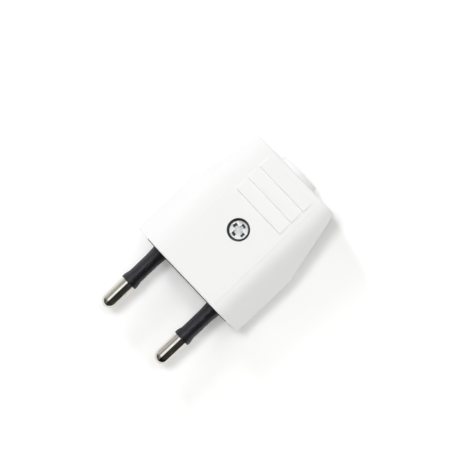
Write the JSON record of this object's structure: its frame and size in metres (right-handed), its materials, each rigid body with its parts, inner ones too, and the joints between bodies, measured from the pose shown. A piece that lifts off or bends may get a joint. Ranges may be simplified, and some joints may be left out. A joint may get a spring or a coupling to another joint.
{
  "type": "europlug",
  "caption": "Flat rewirable mains plug with parallel sleeved round contact pins, a housing in halves held by a central screw, grip ribs and a rear cord inlet.",
  "frame": {"origin": "centre of the engagement face, on the plane that holds both pin axes, halfway between the pins", "axes": "+X the way the pins point, +Y across the plug towards the left pin, +Z towards the side that shows the screw head"},
  "size_m": [0.0573, 0.035, 0.0146],
  "materials": {
    "white_plastic": "moulded white thermoplastic, satin",
    "black_plastic": "moulded black thermoplastic, satin",
    "clamp_plastic": "moulded pale thermoplastic, matt",
    "nickel_plated_brass": "brass, nickel-plated and polished",
    "zinc_plated_steel": "steel, bright zinc-plated"
  },
  "bodies": {
    "root": {"upper_shell": "white_plastic", "lower_shell": "white_plastic", "housing_screw": "zinc_plated_steel", "housing_nut": "zinc_plated_steel", "pin_carrier": "black_plastic", "pin_left": "nickel_plated_brass", "pin_right": "nickel_plated_brass", "terminal_screw_left": "zinc_plated_steel", "terminal_screw_right": "zinc_plated_steel", "cord_clamp_bar": "clamp_plastic", "clamp_screw_left": "zinc_plated_steel", "clamp_screw_right": "zinc_plated_steel"}
  },
  "joints": []
}
